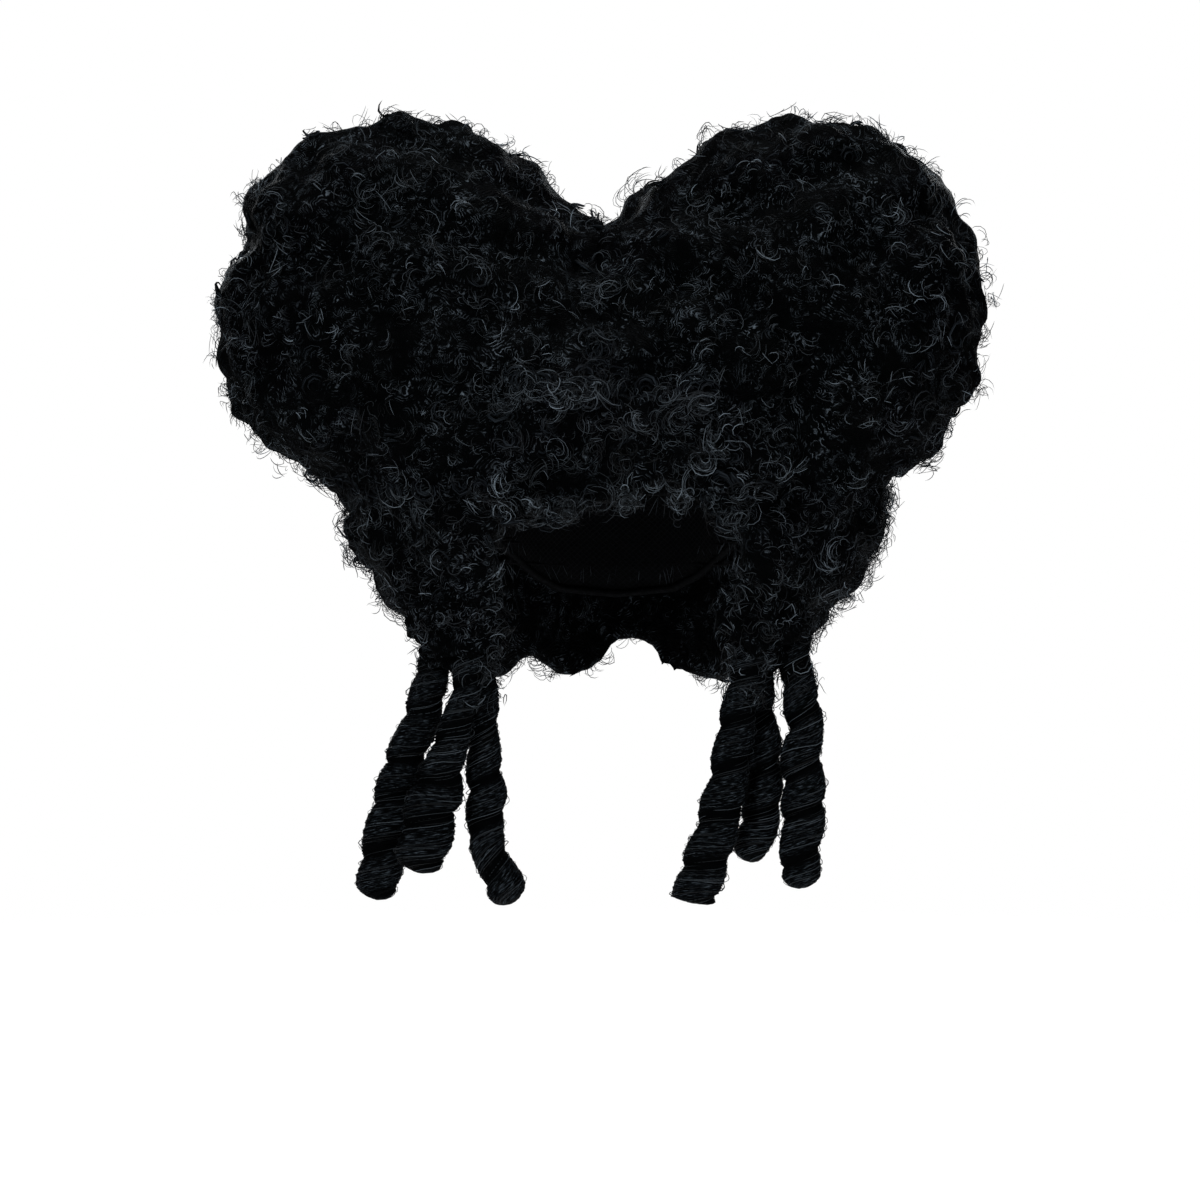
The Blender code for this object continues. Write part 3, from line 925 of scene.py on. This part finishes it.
# Each row is a place on the middle line and the radius there, in millimetres.
ringletPaths = {
    "ringlet_right_outer": [
        (-98.5, -48, -148, 8.4), (-101.5, -49, -174, 9.2), (-106, -50, -192, 9.8), (-108.2, -50, -205, 10.4),
        (-117.2, -50, -228, 10.8), (-125, -50, -255, 11.8), (-131.3, -51, -283, 12.4), (-135, -51, -311, 11.4),
    ],
    "ringlet_right_middle": [
        (-80, -65, -158, 5.5), (-82.2, -70, -182, 8), (-86.6, -72, -204, 8.2), (-92.5, -73, -222, 9.8),
        (-95.5, -73, -232, 10.7), (-97.2, -74, -240, 12.6), (-101.3, -74, -252, 15), (-104, -75, -264, 15.6),
        (-106.6, -75, -276, 15.4), (-110.5, -75, -294, 13.5),
    ],
    "ringlet_right_inner": [
        (-77, -49, -158, 8.4), (-76.5, -50, -192, 9.2), (-75.2, -51, -231, 9.9), (-73.2, -52, -253.5, 10.8),
        (-74, -53, -276, 10), (-68.8, -55, -290, 9.8), (-63.4, -56, -302.5, 11.2), (-60, -57, -313, 10.8),
    ],
    "ringlet_left_inner": [
        (76.5, -67, -154, 6), (72.8, -71.5, -180, 9.6), (67.2, -74, -204, 9.7), (62.9, -74, -228, 10.4),
        (59.2, -75, -252, 12), (55.4, -75, -264.5, 11.7), (52.3, -75, -277, 11.7), (48.4, -76, -289, 12.6),
        (43.9, -76, -301, 13.1), (42, -76, -311, 13),
    ],
    "ringlet_left_middle": [
        (80.5, -50, -154, 8.4), (79, -51, -180, 8.8), (78.5, -52, -204, 9.3), (81, -52, -228, 10.6),
        (81.2, -52, -252, 11), (79.6, -52, -266, 10.6), (75.7, -52, -279, 10.4), (74.5, -52, -290, 9.7),
    ],
    "ringlet_left_outer": [
        (97.5, -58, -150, 8.8), (99.9, -60, -186, 9.4), (103.2, -61, -205, 10.7), (104, -62, -217, 10.4),
        (102.2, -62, -229, 11.5), (103.4, -62, -253, 12), (102, -62, -277, 11.7), (101.2, -62, -295, 11.2),
        (100.8, -62, -304, 10.6),
    ],
}

rollShape = {
    "sides": 28,
    "ringGap": 0.00056,
    "pitch": 0.026,
    "wander": 0.09,
    "lip": 0.3,
    "fullness": 1.03,
    "crest": 0.62,
    "crestShape": 0.6,
    "ridges": 0.025,
    "ridgeCounts": (5, 27),
    "bulge": (0.95, 1.07),
    "roundEnd": 0.0095,
    "flatEnds": {"ringlet_left_inner": 0.0025},
    "merge": 0.00002,
    "hairs": 110,
    "hairPoints": 12,
    "hairSpan": (0.25, 0.9),
    "hairArch": 0.0022,
    "hairLift": (-0.0001, 0.0004),
    "thickness": (0.00025, 0.0006),
    "toneSpread": (0.5, 2.2),
    "rootCurls": 34,
    "rootLength": 0.046,
}


# A smooth line through the rows, at even steps along it: place and radius, in metres.
def smoothRows(rows, gap):
    rows = np.array(rows) / 1000
    padded = np.concatenate([[2 * rows[0] - rows[1]], rows, [2 * rows[-1] - rows[-2]]])
    dense = []
    for p, q, r, s in zip(padded, padded[1:], padded[2:], padded[3:]):
        square, cube = 2 * p - 5 * q + 4 * r - s, 3 * q - p - 3 * r + s
        for t in np.linspace(0, 1, 40, endpoint=False):
            dense.append(0.5 * (2 * q + (r - p) * t + square * t * t + cube * t ** 3))
    dense = np.array(dense + [rows[-1]])
    travel = np.concatenate([[0], np.cumsum(lengths(np.diff(dense[:, :3], axis=0))[:, 0])])
    wanted = np.linspace(0, travel[-1], int(travel[-1] / gap))
    return np.stack([np.interp(wanted, travel, dense[:, column]) for column in range(4)], axis=1), wanted


# A band wound round a middle line: the roll itself, loose hairs along its winding, and curls at its root.
def makeRoll(name, seed):
    rng = np.random.default_rng(seed)
    line, travel = smoothRows(ringletPaths[name], rollShape["ringGap"])
    rings = len(line)
    along = unit(np.gradient(line[:, :3], axis=0))
    wide = unit(np.cross(along, np.array([0.0, 1.0, 0.0])))
    deep = unit(np.cross(wide, along))

    # Values that change slowly from root to tip, through a few random ones.
    def slowly(values):
        return np.interp(travel, np.linspace(0, travel[-1], len(values)), values)

    phaseAt = travel / rollShape["pitch"] + slowly(rng.normal(0, rollShape["wander"], 9))
    ridgeCount = np.arange(*rollShape["ridgeCounts"])
    ridgeTurn = rng.uniform(0, curlVariety["anyPhase"], len(ridgeCount))
    ridgeShare = rng.uniform(0.3, 1.0, len(ridgeCount)) / ridgeCount ** 0.3
    drift = rng.uniform(-0.5, 0.5, len(ridgeCount))
    bulge = slowly(rng.uniform(*rollShape["bulge"], 12))
    ends = np.minimum(1.0, (travel[-1] - travel) / rollShape["flatEnds"].get(name, rollShape["roundEnd"]))
    rounding = np.sqrt(np.clip(1 - (1 - ends) ** 2, 0, 1))

    # A point on the wound skin: place counts rings from the root, turn goes round once.
    def skin(place, turn, proud=0.0):
        low = np.clip(place.astype(int), 0, rings - 2)
        part = place - low

        def mixed(values):
            shape = (...,) + (None,) * (values.ndim - 1)
            return values[low] * (1 - part)[shape] + values[low + 1] * part[shape]

        winding = mixed(phaseAt) + turn
        phase = winding % 1.0
        crest = rollShape["crest"]
        skewed = np.where(phase < crest, phase / crest / 2, 0.5 + (phase - crest) / (1 - crest) / 2)
        lip = rollShape["lip"] * (np.sin(math.pi * skewed) ** rollShape["crestShape"] - 1)
        waves = zip(ridgeCount, ridgeShare, ridgeTurn, drift)
        ridge = sum(
            share * np.cos(2 * math.pi * count * phase + start + shift * np.floor(winding))
            for count, share, start, shift in waves
        )
        radius = mixed(line[:, 3]) * mixed(bulge) * mixed(rounding)
        radius = radius * (rollShape["fullness"] + lip + rollShape["ridges"] * ridge) + proud
        angle = 2 * math.pi * turn
        return (
            mixed(line[:, :3])
            + mixed(wide) * (radius * np.cos(angle))[..., None]
            + mixed(deep) * (radius * np.sin(angle))[..., None]
        )

    bm = bmesh.new()
    bm.loops.layers.uv.new("wind")
    bmesh.ops.create_grid(bm, x_segments=rollShape["sides"], y_segments=rings - 1, size=0.5, calc_uvs=True)
    uv = bm.loops.layers.uv.active
    spots = np.array([vert.co[:] for vert in bm.verts]) + 0.5
    for vert, place in zip(bm.verts, skin(spots[:, 1] * (rings - 1), spots[:, 0] % 1.0)):
        vert.co = place
    for face in bm.faces:
        for corner in face.loops:
            turn, share = corner[uv].uv
            corner[uv].uv = (np.interp(share * (rings - 1), np.arange(rings), phaseAt) + turn, turn)
    closeTube(bm, rollShape["merge"])
    roll = finishPiece(bm, name + "_roll", rollMaterial)
    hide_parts(name)

    count, steps = rollShape["hairs"], rollShape["hairPoints"]
    startPlace = rng.uniform(0.0, 0.99, (count, 1)) * (rings - 1)
    startTurn = rng.uniform(0, 1, (count, 1))
    step = np.linspace(0, 1, steps)[None, :] * rng.uniform(*rollShape["hairSpan"], (count, 1))
    places = np.clip(startPlace + step * rollShape["pitch"] / rollShape["ringGap"], 0, rings - 1.01)
    arch = rng.random((count, 1)) ** 3 * rollShape["hairArch"] * np.sin(math.pi * np.linspace(0, 1, steps))
    proud = rng.uniform(*rollShape["hairLift"], (count, 1)) + arch
    paths = skin(places, (startTurn - step) % 1.0, proud)
    radii = rng.uniform(*rollShape["thickness"], (count, 1)) / 2 * np.ones((1, steps))
    axes = np.tile(along.mean(axis=0), (count, 1))
    # Half the usual tone, so the ringlet hairs get less painted sheen.
    tones = rng.beta(*rollShape["toneSpread"], count) * 0.5
    hairs = hairMesh(name + "_hairs", paths, radii, axes, tones, strandMaterial, 3)

    place = rng.uniform(0, rollShape["rootLength"] / travel[-1], rollShape["rootCurls"]) * (rings - 1)
    spots = skin(place, rng.random(rollShape["rootCurls"]))
    middle = line[np.clip(place.astype(int), 0, rings - 1), :3]
    curlPiece(name + "_roots", spots, unit(spots - middle), rootStyle, rng, "ringlet_hair")


for seed, name in enumerate(ringletPaths):
    makeRoll(name, 41 + seed)
print("ringlets made")


# Dark is the hole between threads, light is the thread. The lines are the ribs of the woven tape.
capFinish = {
    "dark": (0.0006, 0.0007, 0.0009, 1.0),
    "light": (0.0042, 0.0046, 0.0054, 1.0),
    "dull": 0.8,
    "specular": 0.05,
    "bump": 0.0006,
    "threadsRound": 150.0,
    "threadGap": 0.0034,
    "threadEdge": (0.2, 0.45),
    "lines": {"Across": 6.0, "Along": 240.0},
}


# Net of crossed threads, drawn round the cap's own upright axis.
def makeNetMaterial():
    material, tree, shader = newMaterial("black_cap_net")
    place = addNode(tree, "ShaderNodeTexCoord").outputs["Object"]
    split = addNode(tree, "ShaderNodeSeparateXYZ", {0: place}).outputs
    around = mathNode(tree, "ARCTAN2", split["X"], split["Y"])
    turns = mathNode(tree, "MULTIPLY", around, capFinish["threadsRound"] / 2)
    rise = mathNode(tree, "MULTIPLY", split["Z"], math.pi / capFinish["threadGap"])
    one, two = (
        mathNode(tree, "ABSOLUTE", mathNode(tree, "SINE", mathNode(tree, way, turns, rise)))
        for way in ("ADD", "SUBTRACT")
    )
    gap = ramp(tree, mathNode(tree, "MINIMUM", one, two), *capFinish["threadEdge"])
    thread = mathNode(tree, "SUBTRACT", 1.0, gap)
    applyFinish(tree, shader, capFinish, thread, thread)
    return material


capShape = {
    "inside": (0.079, 0.098, 0.092),
    "longEdge": 0.004,
    "rows": [-0.014, -0.026, -0.038, -0.05, -0.062, -0.074, -0.086, -0.098, -0.11, -0.122],
    "rowThickness": 0.0022,
    "rowPoints": 72,
    "rowWave": 0.0006,
    "rowInset": 0.0004,
    "edgeThickness": 0.0044,
    "edgePoints": 150,
    "edgeInset": 0.0006,
    "rimParts": 28,
    "openBelow": -0.088,
    "faceHalfAngle": 0.86,
    "tapeMerge": 0.0003,
    "hairsPerRow": 110,
    "hairLength": 0.013,
    "hairPoints": 6,
    "hairInset": 0.0012,
    "hairRadius": (0.00012, 0.00028),
    "hairSlant": 0.05,
    "toneSpread": (1.3, 4),
}


# Where the inside of the cap is at a height and an angle, with 0 at the back.
def capPlace(height, angle, inset):
    wide, long, dome = capShape["inside"]
    over = np.clip((height + dome) / dome, 0.0, 0.9999)
    scale = np.sqrt(1 - over ** 2)
    return np.stack(
        [(wide * scale - inset) * np.sin(angle), (long * scale - inset) * np.cos(angle), height + 0 * angle], axis=-1
    )


# Round tapes that follow paths on the cap: each is a grid wrapped round its path, closed on itself or capped.
def tubes(name, paths, radius, sides, material):
    bm = bmesh.new()
    bm.loops.layers.uv.new("wind")
    for path in paths:
        along = unit(np.gradient(path, axis=0))
        across = unit(np.cross(along, (0.0, 0.0, 1.0)))
        up = unit(np.cross(across, along))
        grid = bmesh.ops.create_grid(bm, x_segments=sides, y_segments=len(path) - 1, size=0.5, calc_uvs=True)
        for vert in grid["verts"]:
            angle = 2 * math.pi * ((vert.co.x + 0.5) % 1.0)
            row = round((vert.co.y + 0.5) * (len(path) - 1))
            vert.co = path[row] + (across[row] * math.cos(angle) + up[row] * math.sin(angle)) * radius
    closeTube(bm, capShape["tapeMerge"])
    finishPiece(bm, name, material)


# Half the angle that a row at this height runs round, since low rows stop at the face.
def halfTurn(height):
    return np.where(height > capShape["openBelow"], math.pi, math.pi - capShape["faceHalfAngle"])


def makeCap(seed):
    rng = np.random.default_rng(seed)
    tapeMaterial = makeLinedMaterial("black_sewn_tape", capFinish)
    net, bm = mergedCopy("wig_cap", "cap_net")
    edges = [edge for edge in bm.edges if edge.calc_length() > capShape["longEdge"]]
    bmesh.ops.subdivide_edges(bm, edges=edges, cuts=1, use_grid_fill=True)
    bmesh.ops.triangulate(bm, faces=bm.faces)
    bmesh.ops.recalc_face_normals(bm, faces=bm.faces)
    fillMesh(net.data, bm, makeNetMaterial())
    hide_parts("wig_cap")

    # The edge tape follows the lowest points of the cap all the way round.
    points, parts = cadPoints("wig_cap"), capShape["rimParts"]
    wide, long, _ = capShape["inside"]
    angles = np.arctan2(points[:, 0] / wide, points[:, 1] / long)
    bins = np.round((angles + math.pi) / (2 * math.pi) * parts).astype(int) % parts
    rim = [points[bins == number][:, 2].min() for number in range(parts)]
    around = np.linspace(-math.pi, math.pi, parts + 1)
    turn = np.linspace(0, 2 * math.pi, capShape["edgePoints"])
    heights = np.interp((turn + math.pi) % (2 * math.pi) - math.pi, around, rim + rim[:1])
    heights[-1] = heights[0]
    thick = capShape["edgeThickness"] / 2
    edge = capPlace(heights + thick, turn, capShape["edgeInset"])
    tubes("cap_edge_tape", [edge], thick, 8, tapeMaterial)

    rows = []
    for height in capShape["rows"]:
        turn = np.linspace(-1, 1, capShape["rowPoints"]) * halfTurn(height)
        rows.append(capPlace(height + capShape["rowWave"] * np.sin(turn * 5), turn, capShape["rowInset"]))
    tubes("cap_sewn_rows", rows, capShape["rowThickness"] / 2, 6, tapeMaterial)

    # Short hairs that lie down from each sewn row.
    count, steps = len(capShape["rows"]) * capShape["hairsPerRow"], capShape["hairPoints"]
    height = np.repeat(capShape["rows"], capShape["hairsPerRow"])
    turn = rng.uniform(-1, 1, count) * halfTurn(height)
    step = np.linspace(0, 1, steps)[None, :]
    fall = rng.uniform(0.5, 1.0, (count, 1)) * capShape["hairLength"]
    slant = rng.normal(0, capShape["hairSlant"], (count, 1))
    paths = capPlace(height[:, None] - step * fall, turn[:, None] + slant * step, capShape["hairInset"])
    radii = rng.uniform(*capShape["hairRadius"], (count, 1)) * np.ones((1, steps))
    outward = unit(paths[:, 0] * (1, 1, 0))
    # The tone sets how much painted sheen each lying hair gets.
    tones = rng.beta(*capShape["toneSpread"], count)
    lying = hairMesh("cap_row_hairs", paths, radii, outward, tones, strandMaterial, 3)


makeCap(61)
print("cap made")


studio = {
    "floorHeight": -0.42,
    "floorRadius": 1.15,
    "floorSolid": 0.25,
    "floorGlow": 0.34,
    "floorColour": (0.9, 0.9, 0.9, 1.0),
    "lightColour": (0.92, 0.97, 1.0),
    "ambient": 0.06,
    "backdrop": 1.0,
    "aim": (0, 0, -0.05),
    "cameraPlace": (-0.0099, -2.0, -0.1435),
    "sensor": 36.0,
    "viewWidth": 0.6888,
    "lights": {
        "key": ((-0.75, -2.25, 0.95), 0.6, 70),
        "fill": ((1.3, -1.7, 0.4), 0.8, 16),
        "top": ((0.1, 0.2, 1.8), 0.9, 26),
        "backLeft": ((-1.0, 1.9, 0.8), 0.7, 22),
        "backRight": ((0.9, 2.0, 0.8), 0.7, 24),
    },
}


def areaLight(name, place, size, energy):
    data = bpy.data.lights.new(name, "AREA")
    data.shape = "DISK"
    data.size = size
    data.energy = energy
    data.color = studio["lightColour"]
    obj = bpy.data.objects.new(name, data)
    obj.location = place
    obj.rotation_euler = (Vector(studio["aim"]) - Vector(place)).to_track_quat("-Z", "Y").to_euler()
    bpy.context.scene.collection.objects.link(obj)


# A pale floor that fades out towards its rim, so that no edge or horizon shows.
def makeFloorMaterial():
    material, tree, shader = newMaterial("pale_floor")
    place = addNode(tree, "ShaderNodeTexCoord").outputs["Object"]
    away = vectorNode(tree, "LENGTH", vectorNode(tree, "MULTIPLY", place, (1.0, 1.0, 0.0)))
    gone = ramp(tree, away, studio["floorSolid"], studio["floorRadius"], interpolation_type="SMOOTHSTEP")
    values = {
        "Alpha": mathNode(tree, "SUBTRACT", 1.0, gone),
        "Base Color": studio["floorColour"],
        "Roughness": 0.9,
        "Specular IOR Level": 0.1,
        "Emission Color": (1.0, 1.0, 1.0, 1.0),
        "Emission Strength": studio["floorGlow"],
    }
    setInputs(tree, shader, values)
    return material


def makeStudio():
    scene = bpy.context.scene
    bm = bmesh.new()
    bmesh.ops.create_circle(bm, cap_ends=True, segments=96, radius=studio["floorRadius"])
    bmesh.ops.translate(bm, verts=bm.verts, vec=(0, 0, studio["floorHeight"]))
    mesh = bpy.data.meshes.new("floor")
    bm.to_mesh(mesh)
    bm.free()
    mesh.materials.append(makeFloorMaterial())
    floor = bpy.data.objects.new("floor", mesh)
    scene.collection.objects.link(floor)

    world = bpy.data.worlds.new("studio")
    world.use_nodes = True
    tree = world.node_tree
    seen = addNode(tree, "ShaderNodeLightPath").outputs["Is Camera Ray"]
    values = {"Value": seen, "To Min": studio["ambient"], "To Max": studio["backdrop"]}
    strength = addNode(tree, "ShaderNodeMapRange", values).outputs["Result"]
    setInputs(tree, tree.nodes["Background"], {"Color": (1, 1, 1, 1), "Strength": strength})
    scene.world = world

    for name, (place, size, energy) in studio["lights"].items():
        areaLight(name, place, size, energy)

    data = bpy.data.cameras.new("camera")
    data.sensor_width = studio["sensor"]
    data.lens = studio["sensor"] * -studio["cameraPlace"][1] / studio["viewWidth"]
    camera = bpy.data.objects.new("camera", data)
    camera.location = studio["cameraPlace"]
    camera.rotation_euler = (math.pi / 2, 0, 0)
    scene.collection.objects.link(camera)
    scene.camera = camera
    scene.view_settings.view_transform = "Standard"


makeStudio()
skipped = list(nodes) + ["floor"]
made = [obj for obj in bpy.context.scene.objects if obj.type == "MESH" and obj.name not in skipped]
total = sum(len(face.vertices) - 2 for obj in made for face in obj.data.polygons)
print("studio made,", total, "triangles in", len(made), "pieces")
